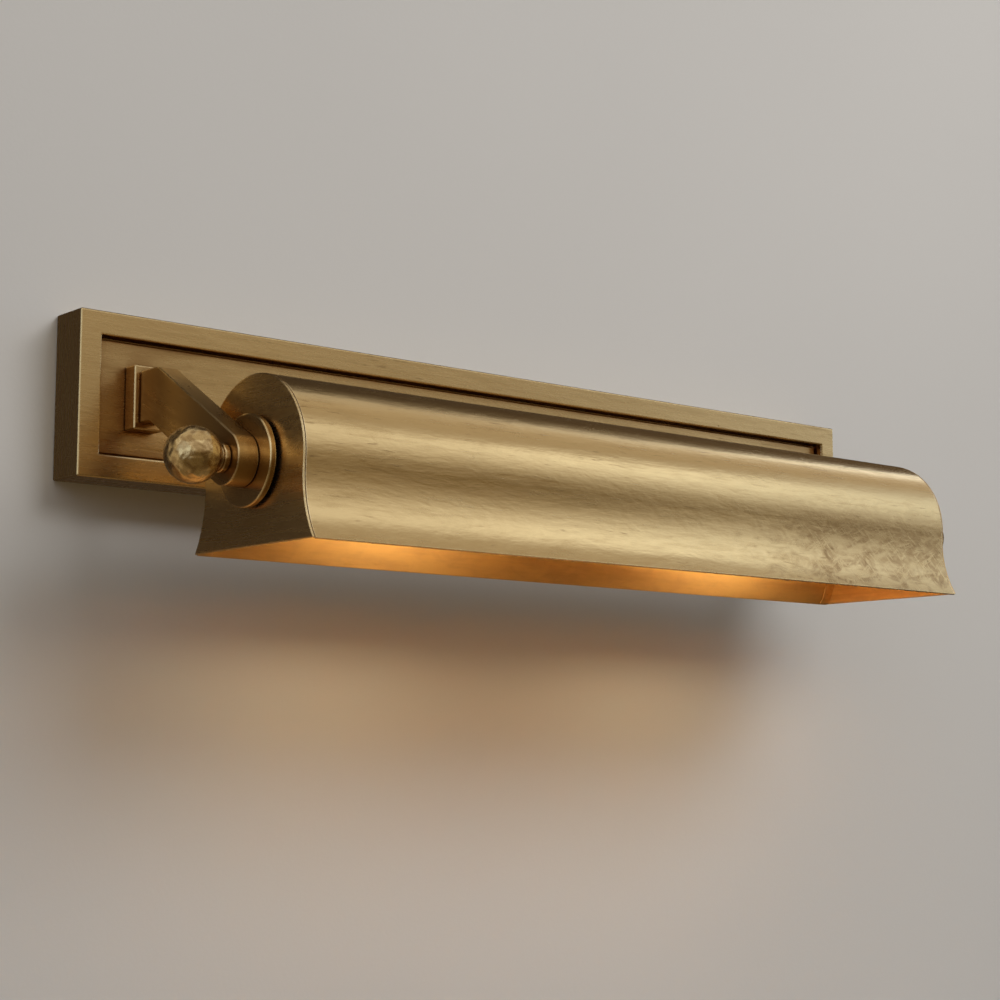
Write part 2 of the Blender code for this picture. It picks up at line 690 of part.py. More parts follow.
def on_axis(sign, s):
    return (sign * s, AXIS_Y, AXIS_Z)


def make_pivots():
    disc = broken_ring_profile(DISC_RADIUS, PIVOT_BORE, 0.0, DISC_S[1] - DISC_S[0])
    washer = ring_profile(WASHER_RADIUS, PIVOT_BORE, 0.0, WASHER_S[1] - WASHER_S[0])
    for side, sign in SIDES:
        out = (sign, 0, 0)
        turned(f"pivot_disc_{side}", disc, brass(), on_axis(sign, DISC_S[0]), out, True,
               steps=LARGE_TURNED_STEPS)
        turned(f"friction_washer_{side}", washer, fibre(), on_axis(sign, WASHER_S[0]), out, True)


# ---------------------------------------------------------------- shade

def shade_profile(inset=0.0, lip_lift=0.0):
    """The trough's section as (y, z) from the pivot axis, from the rear lip over to the front."""
    reach = DOME_RADIUS + FLARE_RADIUS
    centre = (reach * cos(FLARE_ANGLE), -reach * sin(FLARE_ANGLE))
    flare = FLARE_RADIUS + inset
    sweep = asin((LIP_DROP - lip_lift + centre[1]) / flare)
    right = arc(centre, flare, pi + sweep, pi - FLARE_ANGLE, FLARE_STEPS)
    dome = arc((0, 0), DOME_RADIUS - inset, -FLARE_ANGLE, pi + FLARE_ANGLE, DOME_STEPS)
    left = [(-y, z) for y, z in reversed(right)]
    return right[:-1] + dome + left[1:]


def trough_strip(name, profile, start, end):
    """An open sheet that follows the section from x = start to x = end."""
    bm = bmesh.new()
    verts = [bm.verts.new((start, y, z)) for y, z in profile]
    edges = [bm.edges.new(pair) for pair in zip(verts, verts[1:])]
    grown = bmesh.ops.extrude_edge_only(bm, edges=edges)["geom"]
    for vert in (item for item in grown if isinstance(item, bmesh.types.BMVert)):
        vert.co.x = end
    bmesh.ops.recalc_face_normals(bm, faces=bm.faces)
    top = max(bm.faces, key=lambda face: face.calc_center_median().z)
    if top.normal.z < 0:
        bmesh.ops.reverse_faces(bm, faces=bm.faces)
    mesh = bpy.data.meshes.new(name)
    bm.to_mesh(mesh)
    bm.free()
    shade_round(mesh)
    return mesh


def make_shade(pivot):
    half = SHADE_HALF - CAP_THICK - GAP
    mesh = trough_strip("shade_shell", shade_profile(), -half, half)
    shell = add_object("shade_shell", mesh, brass())
    shell.parent = pivot
    solidify(shell, SHADE_WALL)


def make_end_caps(pivot):
    """Flat ends with a flange that nests inside the shell."""
    for side, sign in SIDES:
        s = SHADE_HALF - CAP_THICK / 2
        cap = flat_plate(f"end_cap_{side}", shade_profile(), CAP_THICK, brass(), (sign * s, 0, 0))
        cap.parent = pivot
        bevel(cap, CAP_EDGE)
        inside = shade_profile(SHADE_WALL + GAP, FLANGE_LIFT)
        ends = sorted((sign * (SHADE_HALF - CAP_THICK - CAP_FLANGE), sign * (SHADE_HALF - CAP_THICK / 2)))
        strip = trough_strip(f"end_cap_{side}_flange", inside, *ends)
        flange = add_object(strip.name, strip, None, (0, 0, 0), "cutters")
        flange.parent = pivot
        solidify(flange, SHADE_WALL)
        boolean(cap, make_tool(flange), "UNION")
        bore(cap, PIVOT_BORE, 4 * CAP_THICK, on_axis(sign, SHADE_HALF), (1, 0, 0), PIVOT_HOLE_SIDES)


def make_studs(pivot):
    """Hollow threaded studs, open at the side where the lead comes in from the arm."""
    tube = broken_ring_profile(STUD_RADIUS, STUD_BORE, STUD_S[0] - ARM_S, STUD_S[1] - ARM_S)
    for side, sign in SIDES:
        stud = turned(f"pivot_stud_{side}", tube, steel(), on_axis(sign, ARM_S), (sign, 0, 0), True,
                      steps=SMALL_TURNED_STEPS)
        window = (STUD_WINDOW, 2 * STUD_RADIUS + STUD_WINDOW_DEPTH, 4 * STUD_RADIUS)
        middle = AXIS_Y + window[1] / 2 - STUD_WINDOW_DEPTH
        cut_box(stud, window, (sign * ARM_S, middle, AXIS_Z))
        tilt_parent(stud, pivot)
        start, end = ARM_S - STUD_LEAD_SETBACK, HOLDER_FLOOR_S + STUD_LEAD_SETBACK
        lead = [on_axis(sign, s) for s in (start, NUT_S[0], end)]
        tilt_parent(wire(f"stud_lead_{side}", lead, LEAD_RADIUS, lead_sheath()), pivot)
        make_nut(side, sign, pivot)


def make_nut(side, sign, pivot):
    name = f"stud_nut_{side}"
    bm = bmesh.new()
    thick = NUT_S[1] - NUT_S[0]
    turn = Matrix.Rotation(pi / 2, 4, "Y")
    bmesh.ops.create_cone(bm, cap_ends=True, segments=6, radius1=NUT_RADIUS, radius2=NUT_RADIUS,
                          depth=thick, matrix=turn)
    nut = add_object(name, mesh_from(bm, name), steel(), on_axis(sign, sum(NUT_S) / 2))
    bevel(nut, FINE_EDGE)
    bore(nut, PIVOT_BORE, 2 * thick, nut.location, (1, 0, 0), NUT_HOLE_SIDES)
    tilt_parent(nut, pivot)


def tilt_parent(child, pivot):
    """Hang a piece that is placed in world coordinates on the tilting shade."""
    child.parent = pivot
    child.matrix_parent_inverse = Matrix.Translation(pivot.location).inverted()


# ---------------------------------------------------------------- lamps and knobs

def holder_profile():
    """A moulded cup for the lamp's cap: rim, barrel, shoulder and neck, from the neck down."""
    floor = HOLDER_FLOOR_S - HOLDER_S[0]
    back = HOLDER_S[1] - HOLDER_S[0]
    rim = HOLDER_RADIUS
    barrel = rim - HOLDER_BEAD
    neck_end, slope_end, barrel_start = HOLDER_SHOULDER
    return [
        (PIVOT_BORE, back), (HOLDER_NECK, back), (HOLDER_NECK, back - neck_end),
        (rim - HOLDER_SLOPE, back - slope_end), (barrel, back - barrel_start),
        (barrel, HOLDER_RIM + HOLDER_BEAD), (rim, HOLDER_RIM - MOULDED_EDGE), (rim, HOLDER_BEAD),
        (barrel, 0.0), (HOLDER_BORE, 0.0), (HOLDER_BORE, floor - HOLDER_DISH), (PIVOT_BORE, floor),
    ]


def screw_cap_profile():
    """The lamp's threaded cap, its insulator and the contact at its tip, from the tip down."""
    tip = SCREW_CAP_S[1] - SCREW_CAP_S[0]
    crest = SCREW_CAP_RADIUS
    root = crest - THREAD_DEPTH
    profile = [(0.0, tip)] + [(radius, tip - drop) for radius, drop in SCREW_CAP_TIP]
    first = tip - THREAD_START
    profile.append((root, first))
    for turn in range(THREAD_TURNS):
        start = first - turn * THREAD_PITCH
        profile += [(crest, start - 0.30 * THREAD_PITCH), (crest, start - 0.55 * THREAD_PITCH),
                    (root, start - 0.90 * THREAD_PITCH)]
    return profile + [(crest, SCREW_CAP_BEAD), (crest, 0.0), (0.0, 0.0)]


def glass_profile():
    """A long tubular envelope: neck, shoulder, tube and domed end, with an open neck."""
    neck_top = GLASS_S[1] - GLASS_S[0]
    outer = [(GLASS_NECK, neck_top), (GLASS_NECK, neck_top - GLASS_NECK_LENGTH)]
    outer += [(radius, neck_top - drop) for radius, drop in GLASS_SHOULDER]
    inner = [(radius - GLASS_WALL, height) for radius, height in outer]
    outer += arc((0.0, GLASS_RADIUS), GLASS_RADIUS, 0.0, -pi / 2, TIP_STEPS)
    inner += arc((0.0, GLASS_RADIUS), GLASS_RADIUS - GLASS_WALL, 0.0, -pi / 2, TIP_STEPS)
    outer[-1] = (0.0, outer[-1][1])
    inner[-1] = (0.0, inner[-1][1])
    return list(reversed(inner)) + outer


def make_lamps(pivot):
    for side, sign in SIDES:
        out = (sign, 0, 0)
        holder = turned(f"lampholder_{side}", holder_profile(), thermoset(), on_axis(sign, HOLDER_S[0]),
                        out, True)
        cap = turned(f"lamp_cap_{side}", screw_cap_profile(), lamp_metal(), on_axis(sign, SCREW_CAP_S[0]),
                     out, steps=THREAD_STEPS)
        envelope = turned(f"lamp_glass_{side}", glass_profile(), glass(), on_axis(sign, GLASS_S[0]),
                          out, steps=SMALL_TURNED_STEPS)
        for piece in (holder, cap, envelope):
            tilt_parent(piece, pivot)


def knob_profile():
    """Ball, neck and collar, with a blind threaded bore from the collar's face."""
    base = COLLAR_S[0]
    ball = BALL_S - base
    neck_meets_ball = asin(NECK_RADIUS / BALL_RADIUS)
    profile = arc((0.0, ball), BALL_RADIUS, pi / 2, neck_meets_ball - pi / 2, BALL_STEPS)
    profile[0] = (0.0, profile[0][1])
    collar = COLLAR_S[1] - base
    bore_end = KNOB_BORE_END - base
    edge = FINE_EDGE
    return profile + [
        (NECK_RADIUS, collar), (COLLAR_RADIUS - edge, collar), (COLLAR_RADIUS, collar - edge),
        (COLLAR_RADIUS, edge), (COLLAR_RADIUS - edge, 0.0), (PIVOT_BORE, 0.0),
        (PIVOT_BORE, bore_end - DRILL_POINT), (0.0, bore_end),
    ]


def make_knobs(pivot):
    for side, sign in SIDES:
        knob = turned(f"knob_{side}", knob_profile(), polished_brass(), on_axis(sign, COLLAR_S[0]),
                      (sign, 0, 0), steps=KNOB_STEPS)
        tilt_parent(knob, pivot)


# ---------------------------------------------------------------- assembly

def build():
    clear_scene()
    new_collection(COLLECTION)
    new_collection("cutters")
    pivot = bpy.data.objects.new("shade_pivot", None)
    bpy.data.collections[COLLECTION].objects.link(pivot)
    pivot.location = (0, AXIS_Y, AXIS_Z)
    make_bracket()
    make_terminal_block()
    make_earth()
    make_frame()
    make_panel()
    make_panel_screws()
    make_set_screws()
    make_arm_bases()
    make_arms()
    make_arm_screws()
    make_supply_leads()
    make_pivots()
    make_shade(pivot)
    make_end_caps(pivot)
    make_studs(pivot)
    make_lamps(pivot)
    make_knobs(pivot)
    bpy.context.view_layer.update()


build()
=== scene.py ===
"""Looks for a brass picture light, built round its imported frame.

The frame is in metres: +X runs along the light, -Y points out of the wall, +Z is up, and
the wall is at y = 0. The CAD pieces keep their shapes and get their surfaces here.
"""

from math import cos, pi, radians

import bpy
from mathutils import Euler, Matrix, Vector


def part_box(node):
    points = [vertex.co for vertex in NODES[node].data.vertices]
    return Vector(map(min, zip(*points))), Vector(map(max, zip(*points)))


SIDES = ("left", "right")
MILLIMETRE = 0.001

# Driving places, measured on the frame
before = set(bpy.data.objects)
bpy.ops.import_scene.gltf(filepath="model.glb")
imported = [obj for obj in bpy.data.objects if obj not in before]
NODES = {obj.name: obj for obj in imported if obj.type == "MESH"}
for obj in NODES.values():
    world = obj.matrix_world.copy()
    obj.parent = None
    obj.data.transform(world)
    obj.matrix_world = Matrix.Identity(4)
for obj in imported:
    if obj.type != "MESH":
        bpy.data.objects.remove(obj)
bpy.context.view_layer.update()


def middle(node):
    low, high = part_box(node)
    return (low + high) / 2


AXIS = middle("pivot_disc_left")          # a point on the tilt axis
ARM_ROOT = middle("arm_base_left")
SHADE_LOW, SHADE_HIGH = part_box("shade_shell")
GLASS_LOW, GLASS_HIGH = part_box("lamp_glass_right")
GLASS_SPAN = (GLASS_LOW.x, GLASS_HIGH.x)
DOME_RADIUS = SHADE_HIGH.z - AXIS.z


# ---------------------------------------------------------------- node trees

class Graph:
    """A shader tree built with short calls. A value is a socket, a number or a tuple."""

    def __init__(self, tree):
        self.tree = tree
        tree.nodes.clear()

    def node(self, kind, **settings):
        made = self.tree.nodes.new("ShaderNode" + kind)
        for name, value in settings.items():
            setattr(made, name, value)
        return made

    def feed(self, socket, value):
        if isinstance(value, bpy.types.NodeSocket):
            self.tree.links.new(value, socket)
        elif isinstance(value, tuple) and len(value) < len(socket.default_value):
            socket.default_value = (*value, 1.0)
        else:
            socket.default_value = value

    def maths(self, operation, *values, clamp=False):
        made = self.node("Math", operation=operation, use_clamp=clamp)
        for socket, value in zip(made.inputs, values):
            self.feed(socket, value)
        return made.outputs[0]

    def total(self, *weighted):
        """The sum of (value, weight) pairs."""
        result = 0.0
        for value, weight in weighted:
            result = self.maths("MULTIPLY_ADD", value, weight, result)
        return result

    def weigh(self, values, weights, scale=1.0):
        """The sum of the named values, each times its weight."""
        return self.total(*((values[name], weight * scale) for name, weight in weights.items()))

    def vector(self, operation, *values):
        """A vector, or for DOT_PRODUCT and LENGTH a number."""
        made = self.node("VectorMath", operation=operation)
        for socket, value in zip(made.inputs, values):
            self.feed(socket, value)
        return made.outputs["Value" if operation in ("DOT_PRODUCT", "LENGTH") else "Vector"]

    def split(self, value):
        made = self.node("SeparateXYZ")
        self.feed(made.inputs[0], value)
        return made.outputs[0], made.outputs[1], made.outputs[2]

    def join(self, *values):
        made = self.node("CombineXYZ")
        for socket, value in zip(made.inputs, values):
            self.feed(socket, value)
        return made.outputs[0]

    def product(self, first, *others):
        """The product of two or more values."""
        result = first
        for value in others:
            result = self.maths("MULTIPLY", result, value)
        return result

    def mix(self, share, first, second):
        """A mix of two colours or vectors: the first at 0, the second at 1."""
        made = self.node("Mix", data_type="RGBA")
        for socket, value in zip((made.inputs[0], *made.inputs[6:8]), (share, first, second)):
            self.feed(socket, value)
        return made.outputs[2]

    def layer(self, colour, mask, strength, paint):
        """The colour with paint laid over it where the mask is 1, at the given strength."""
        return self.mix(self.maths("MULTIPLY", mask, strength), colour, paint)

    def span(self, value, low, high, to_low=0.0, to_high=1.0):
        """Value mapped smoothly from low..high to to_low..to_high, and held outside."""
        made = self.node("MapRange", interpolation_type="SMOOTHSTEP")
        for socket, number in zip(made.inputs, (value, low, high, to_low, to_high)):
            self.feed(socket, number)
        return made.outputs[0]

    def noise(self, place, scale, detail=3.0, roughness=0.55, distortion=0.0):
        """Noise round 0.5; scale is in features a metre, one number or one for each axis."""
        if isinstance(scale, tuple):
            place = self.vector("MULTIPLY", place, scale)
            scale = 1.0
        made = self.node("TexNoise")
        self.feed(made.inputs["Vector"], place)
        for name, value in (("Scale", scale), ("Detail", detail), ("Roughness", roughness),
                            ("Distortion", distortion)):
            self.feed(made.inputs[name], value)
        return made.outputs["Fac"]

    def ramp(self, value, stops):
        """Colours by position, from (position, colour) pairs, eased between them."""
        made = self.node("ValToRGB")
        made.color_ramp.interpolation = "EASE"
        elements = made.color_ramp.elements
        while len(elements) < len(stops):
            elements.new(1.0)
        for element, (position, colour) in zip(elements, stops):
            element.position = position
            element.color = (*colour, 1.0)
        self.feed(made.inputs[0], value)
        return made.outputs[0]

    def bump(self, height_mm, normal=None):
        """A normal from a height in millimetres."""
        made = self.node("Bump")
        self.feed(made.inputs["Strength"], 1.0)
        self.feed(made.inputs["Distance"], MILLIMETRE)
        self.feed(made.inputs["Height"], height_mm)
        if normal:
            self.feed(made.inputs["Normal"], normal)
        return made.outputs[0]

    def choose(self, share, first, second):
        """A mix of two shader nodes: the first at 0, the second at 1."""
        made = self.node("MixShader")
        self.feed(made.inputs[0], share)
        self.tree.links.new(first.outputs[0], made.inputs[1])
        self.tree.links.new(second.outputs[0], made.inputs[2])
        return made

    def surface(self, **inputs):
        """The Principled shader with the given inputs, linked to the output."""
        shader = self.node("BsdfPrincipled")
        for name, value in inputs.items():
            self.feed(shader.inputs[name.replace("_", " ")], value)
        output = self.node("OutputMaterial")
        self.tree.links.new(shader.outputs[0], output.inputs["Surface"])
        return shader


def new_material(name):
    made = bpy.data.materials.new(name)
    made.use_nodes = True
    return made, Graph(made.node_tree)


def object_place(graph):
    return graph.node("TexCoord").outputs["Object"]


# ---------------------------------------------------------------- how each brass piece was brushed

def object_normal(graph):
    turned = graph.node("VectorTransform", vector_type="NORMAL",
                        convert_from="WORLD", convert_to="OBJECT")
    graph.feed(turned.inputs[0], graph.node("NewGeometry").outputs["True Normal"])
    return turned.outputs[0]


END_FACE_ANGLE = radians(53)        # a face this near to the light's length counts as an end


def lay_lengthwise(graph):
    """Along the light, and upright on the faces that look along it: plate and bases."""
    x, y, z = graph.split(object_place(graph))
    faces_sideways = graph.maths("ABSOLUTE", graph.split(object_normal(graph))[0])
    faces_sideways = graph.maths("GREATER_THAN", faces_sideways, cos(END_FACE_ANGLE))
    return graph.mix(faces_sideways, graph.join(x, z, y), graph.join(z, y, x))


def lay_trough(graph):
    """Along the light, with the way round the pivot axis unrolled: the shade."""
    x, y, z = graph.split(graph.vector("SUBTRACT", object_place(graph), tuple(AXIS)))
    angle = graph.maths("ARCTAN2", y, z)
    radius = graph.vector("LENGTH", graph.join(0.0, y, z))
    return graph.join(x, graph.maths("MULTIPLY", angle, DOME_RADIUS), radius)


def lay_arm(graph):
    """Along the arm's slope."""
    slope = (AXIS - ARM_ROOT)
    slope.x = 0
    slope.normalize()
    place = object_place(graph)
    along = graph.vector("DOT_PRODUCT", place, tuple(slope))
    across = graph.vector("DOT_PRODUCT", place, (0.0, -slope.z, slope.y))
    return graph.join(along, across, graph.split(place)[0])


def lay_outward(graph):
    """Out of the wall: the shade's flat ends."""
    x, y, z = graph.split(object_place(graph))
    return graph.join(y, z, x)


STROKE_SHORTENING = 2.5


def lay_free(graph):
    """No clear direction: the polished balls, on which the marks' long strokes are shortened."""
    return graph.vector("MULTIPLY", object_place(graph), (STROKE_SHORTENING, 1.0, 1.0))


def lay_turned(graph):
    """Round the pivot axis: everything made on a lathe."""
    x, y, z = graph.split(graph.vector("SUBTRACT", object_place(graph), tuple(AXIS)))
    radius = graph.vector("LENGTH", graph.join(0.0, y, z))
    way = graph.maths("MULTIPLY", graph.maths("ARCTAN2", y, z), radius)
    return graph.join(way, radius, x)


# ---------------------------------------------------------------- brass

CLEAN_BRASS = (0.78, 0.58, 0.285)
AGED_BRASS = (0.55, 0.37, 0.155)
TARNISH = (0.23, 0.13, 0.052)
# Edge colour: worn brass, and a painted highlight along every edge, convex or concave.
WORN_EDGE_AND_HIGHLIGHT = (0.95, 0.76, 0.44)
PAINTED_SHADE = (0.30, 0.14, 0.045)         # painted shade, where neighbouring parts close in
HANDLED = (0.33, 0.195, 0.078)          # where fingers do
LIT_LACQUER = (0.82, 0.49, 0.15)        # inside the shade
THIN_LACQUER = (0.56, 0.29, 0.10)
HEATED = (0.34, 0.16, 0.05)             # over the lamps

# The marks on brass. Each is a noise with its features a metre along the brushing, across it and
# through the metal, and then its detail, roughness and distortion.
MARKS = {
    "fine": ((30.0, 900.0, 300.0), 2.0, 0.55, 0.0),
    "streaks": ((9.0, 210.0, 90.0), 4.0, 0.65, 0.0),
    "dashes": ((55.0, 560.0, 200.0), 3.0, 0.60, 0.0),
    "clouds": ((12.0, 36.0, 30.0), 5.0, 0.62, 0.2),
    "ripples": ((19.0, 105.0, 80.0), 4.0, 0.60, 0.2),
    "blots": ((55.0, 130.0, 110.0), 4.0, 0.60, 0.8),
    "patches": ((9.0, 21.0, 16.0), 3.0, 0.55, 0.0),
}
DARKENED_BY = {"clouds": 0.90, "streaks": 0.65, "blots": 0.35, "ripples": 0.40}
LINED_BY = {"dashes": 0.5, "streaks": 0.5}
THINNED_BY = {"streaks": 0.5, "clouds": 0.35, "blots": 0.35}
ROUGHENED_BY = {"darkened": 0.06, "streaks": 0.12, "dashes": 0.14, "scratched": 0.05, "stain": 0.10,
                "cavity": 0.15, "edge": -0.05}
ROUGHNESS_OF_MARKS = 0.16               # what the marks add on average, taken off again

# Heights in millimetres
GRAIN = {"fine": 0.004, "streaks": 0.035, "dashes": 0.018}
DENTS = {"clouds": 0.42, "ripples": 0.11, "blots": 0.07}
SPOTS = {"scratched": 0.009, "speck": -0.02}

# Where a mask starts and where it is full, on noises that lie round 0.5
STAINED = (0.56, 0.72)
STROKED = (0.50, 0.66)
NICKED = (0.62, 0.72)
NICKS_GATHER = (0.42, 0.56)
LINED = (0.50, 0.62)
THINNED = (0.52, 0.72)
DULLED = (0.46, 0.60)
MOTTLED = (0.36, 0.60)

SPECKS_A_METRE = 75.0
SPECK_SIZE = (0.065, 0.035)             # as a share of the way to the next speck
SPECKS_LEFT_OUT = 0.80                  # share of the possible specks
SCUFFS = ((38, 520), (-21, 430))        # angle to the brushing in degrees, strokes a metre

# Masks from the shape, with widths and reaches in metres
MASK_SAMPLES = 6
EDGE_FACING = (0.995, 0.93)             # how far a rounded normal leans from the flat one
EDGE_WIDTH = 0.0009
RECESS_REACH = 0.0018
PAINTED_SHADE_REACH = 0.045
PAINTED_SHADE_RANGE = (0.93, 0.42)            # share of open air, where the painted shade starts and is full
RECESS_RANGE = (0.75, 0.25)             # the same for recesses

# The patch that fingers have rubbed on the front skirt, in metres from the lip and along X
RUBBED_TOP = (0.058, 0.034)
RUBBED_FOOT = (0.0, 0.016)
RUBBED_LEFT = (0.12, 0.21)
RAGGED_UP = 0.06
RAGGED_ALONG = 0.12

# Height over the pivot axis, where the lamps' heat starts to brown the dome and where it is full
HEAT_RANGE = (-0.022, 0.012)

DIMPLES_A_METRE = 165.0
DULL_SPOTS_A_METRE = 180.0


def edge_mask(graph, radius):
    """1 on convex and concave edges, 0 on open surfaces, and the rounded normal."""
    rounded = graph.node("Bevel", samples=MASK_SAMPLES)
    rounded.inputs["Radius"].default_value = radius
    geometry = graph.node("NewGeometry")
    facing = graph.vector("DOT_PRODUCT", rounded.outputs[0], geometry.outputs["Normal"])
    return graph.span(facing, *EDGE_FACING), rounded.outputs[0]


def cavity_mask(graph, distance, open_air=RECESS_RANGE[0], closed=RECESS_RANGE[1]):
    """1 in deep recesses, 0 in the open."""
    hidden = graph.node("AmbientOcclusion", samples=MASK_SAMPLES)
    hidden.inputs["Distance"].default_value = distance
    return graph.span(hidden.outputs["AO"], open_air, closed)


def inside_mask(graph):
    """1 on the faces of the shade that look towards the lamps."""
    place = graph.vector("SUBTRACT", object_place(graph), (0.0, AXIS.y, AXIS.z))
    return graph.maths("LESS_THAN", graph.vector("DOT_PRODUCT", object_normal(graph), place), 0.0)


def scuffs(graph, lay, angle, strokes):
    """Short rubbed strokes at an angle to the brushing."""
    turned = graph.node("Mapping")
    graph.feed(turned.inputs["Vector"], lay)
    turned.inputs["Rotation"].default_value = (0.0, 0.0, radians(angle))
    rubbed = graph.noise(turned.outputs[0], (strokes / 6, strokes, strokes / 4), 3.0, 0.6, 0.3)
    return graph.span(rubbed, *STROKED)


def handled_mask(graph, blots):
    """1 on the front skirt's right half, over its lip, where fingers turn the shade."""
    x, y, z = graph.split(object_place(graph))
    lip = SHADE_LOW.z
    ragged = graph.maths("MULTIPLY_ADD", graph.maths("SUBTRACT", blots, 0.5), RAGGED_UP, z)
    top = graph.span(ragged, *(lip + height for height in RUBBED_TOP))
    foot = graph.span(ragged, *(lip + height for height in RUBBED_FOOT), 0.35, 1.0)
    right = graph.span(graph.maths("MULTIPLY_ADD", blots, RAGGED_ALONG, x), *RUBBED_LEFT)
    front = graph.maths("LESS_THAN", y, AXIS.y)
    mottled = graph.span(blots, *MOTTLED, 0.45, 1.0)
    return graph.product(top, foot, right, front, mottled)


def speck_mask(graph, lay):
    """1 on small round specks, scattered thinly."""
    specks = graph.node("TexVoronoi", feature="F1")
    graph.feed(specks.inputs["Vector"], lay)
    graph.feed(specks.inputs["Scale"], SPECKS_A_METRE)
    chance = graph.split(specks.outputs["Color"])[0]
    return graph.product(graph.span(specks.outputs["Distance"], *SPECK_SIZE),
                         graph.maths("GREATER_THAN", chance, SPECKS_LEFT_OUT))


def lacquer_colour(graph, marks):
    """The lacquer inside the shade: streaked, and browned over the lamps."""
    height = graph.split(object_place(graph))[2]
    over_lamps = graph.span(height, *(AXIS.z + place for place in HEAT_RANGE))
    lacquer = graph.mix(over_lamps, LIT_LACQUER, HEATED)
    return graph.layer(lacquer, graph.span(graph.weigh(marks, THINNED_BY), *THINNED), 0.65, THIN_LACQUER)


def brass(name, lay_of, roughness=0.29, age=0.5, dents=0.5, scuffed=0.3, smaller=1.0, painted_shade=0.2,
          grain=1.0, dimples=0.0, is_shade=False, has_inside=False):
    """Brushed brass with an aged, waxed finish.

    Age is the share of darkened metal. Dents and grain scale the slow waves in the sheet and its
    brushing, and dimples is the height in millimetres of the soft dimples on a ball. Scuffed is how
    much of the metal carries crossing strokes, smaller shrinks all its marks, and the painted-shade
    strength sets how dark the painted shade is where neighbouring parts close in.
    """
    made, graph = new_material(name)
    lay = lay_of(graph)
    if smaller != 1.0:
        lay = graph.vector("MULTIPLY", lay, (smaller, smaller, smaller))
    marks = {mark: graph.noise(lay, *settings) for mark, settings in MARKS.items()}
    blots = marks["blots"]

    dark_from = 1.60 - age
    marks["darkened"] = graph.span(graph.weigh(marks, DARKENED_BY), dark_from,
                                   dark_from + 0.30 + 0.35 * (1 - age))
    colour = graph.mix(marks["darkened"], CLEAN_BRASS, AGED_BRASS)

    patch = graph.span(marks["patches"], 0.62 - 0.2 * scuffed, 0.80 - 0.2 * scuffed)
    scratch_shine = 0.20
    if is_shade:
        handled = handled_mask(graph, blots)
        patch = graph.maths("MAXIMUM", graph.product(patch, 0.35), graph.product(handled, 0.9))
        scratch_shine = graph.maths("MULTIPLY_ADD", handled, 0.55, scratch_shine)
        colour = graph.layer(colour, handled, 0.75, HANDLED)
    strokes = graph.maths("ADD", *(scuffs(graph, lay, *scuff) for scuff in SCUFFS))
    marks["scratched"] = graph.maths("MULTIPLY", strokes, patch, clamp=True)
    marks["stain"] = graph.product(graph.span(blots, *STAINED), patch)
    colour = graph.layer(colour, marks["stain"], 0.55, TARNISH)
    colour = graph.layer(colour, marks["scratched"], scratch_shine, CLEAN_BRASS)
    nicks = graph.product(graph.span(marks["dashes"], *NICKED), graph.span(marks["clouds"], *NICKS_GATHER))
    colour = graph.layer(colour, nicks, 0.50, TARNISH)
    colour = graph.layer(colour, graph.span(graph.weigh(marks, LINED_BY), *LINED), 0.22, AGED_BRASS)
    marks["speck"] = speck_mask(graph, lay)
    colour = graph.layer(colour, marks["speck"], 0.60, TARNISH)
    if dimples:
        dull_spots = graph.noise(object_place(graph), DULL_SPOTS_A_METRE, 1.0)
        colour = graph.layer(colour, graph.span(dull_spots, *DULLED), 0.60, HANDLED)

    # Painted shade: the metal darkened and browned where neighbouring parts close in round it.
    colour = graph.layer(colour, cavity_mask(graph, PAINTED_SHADE_REACH, *PAINTED_SHADE_RANGE), painted_shade, PAINTED_SHADE)
    marks["cavity"] = cavity_mask(graph, RECESS_REACH)
    colour = graph.layer(colour, marks["cavity"], 0.75, TARNISH)
    marks["edge"], rounded = edge_mask(graph, EDGE_WIDTH)
    # Worn edges, with a painted highlight laid along every edge.
    colour = graph.mix(marks["edge"], colour, WORN_EDGE_AND_HIGHLIGHT)

    rough = graph.maths("ADD", graph.weigh(marks, ROUGHENED_BY), roughness - ROUGHNESS_OF_MARKS)
    metallic = 1.0
    if has_inside:
        inside = inside_mask(graph)
        rough = graph.maths("MULTIPLY_ADD", inside, 0.20, rough)
        metallic = graph.maths("MULTIPLY_ADD", inside, -0.55, metallic)
        colour = graph.layer(colour, inside, 0.72, lacquer_colour(graph, marks))

    height = graph.total((graph.weigh(marks, GRAIN, grain), 1.0), (graph.weigh(marks, DENTS, dents), 1.0),
                         (graph.weigh(marks, SPOTS), 1.0))
    height = graph.maths("DIVIDE", height, smaller)
    if dimples:
        soft = graph.noise(object_place(graph), DIMPLES_A_METRE, 0.8, 0.5, 0.3)
        height = graph.total((soft, dimples), (height, 1.0))
    graph.surface(Base_Color=colour, Metallic=metallic, Roughness=rough,
                  Normal=graph.bump(height, rounded))
    return made


# ---------------------------------------------------------------- the other materials

PLATING = (0.62, 0.63, 0.62)
PLATING_DULL = (0.40, 0.40, 0.37)
PLATING_GRIME = (0.16, 0.15, 0.13)
PLATING_EDGE = (0.82, 0.82, 0.80)


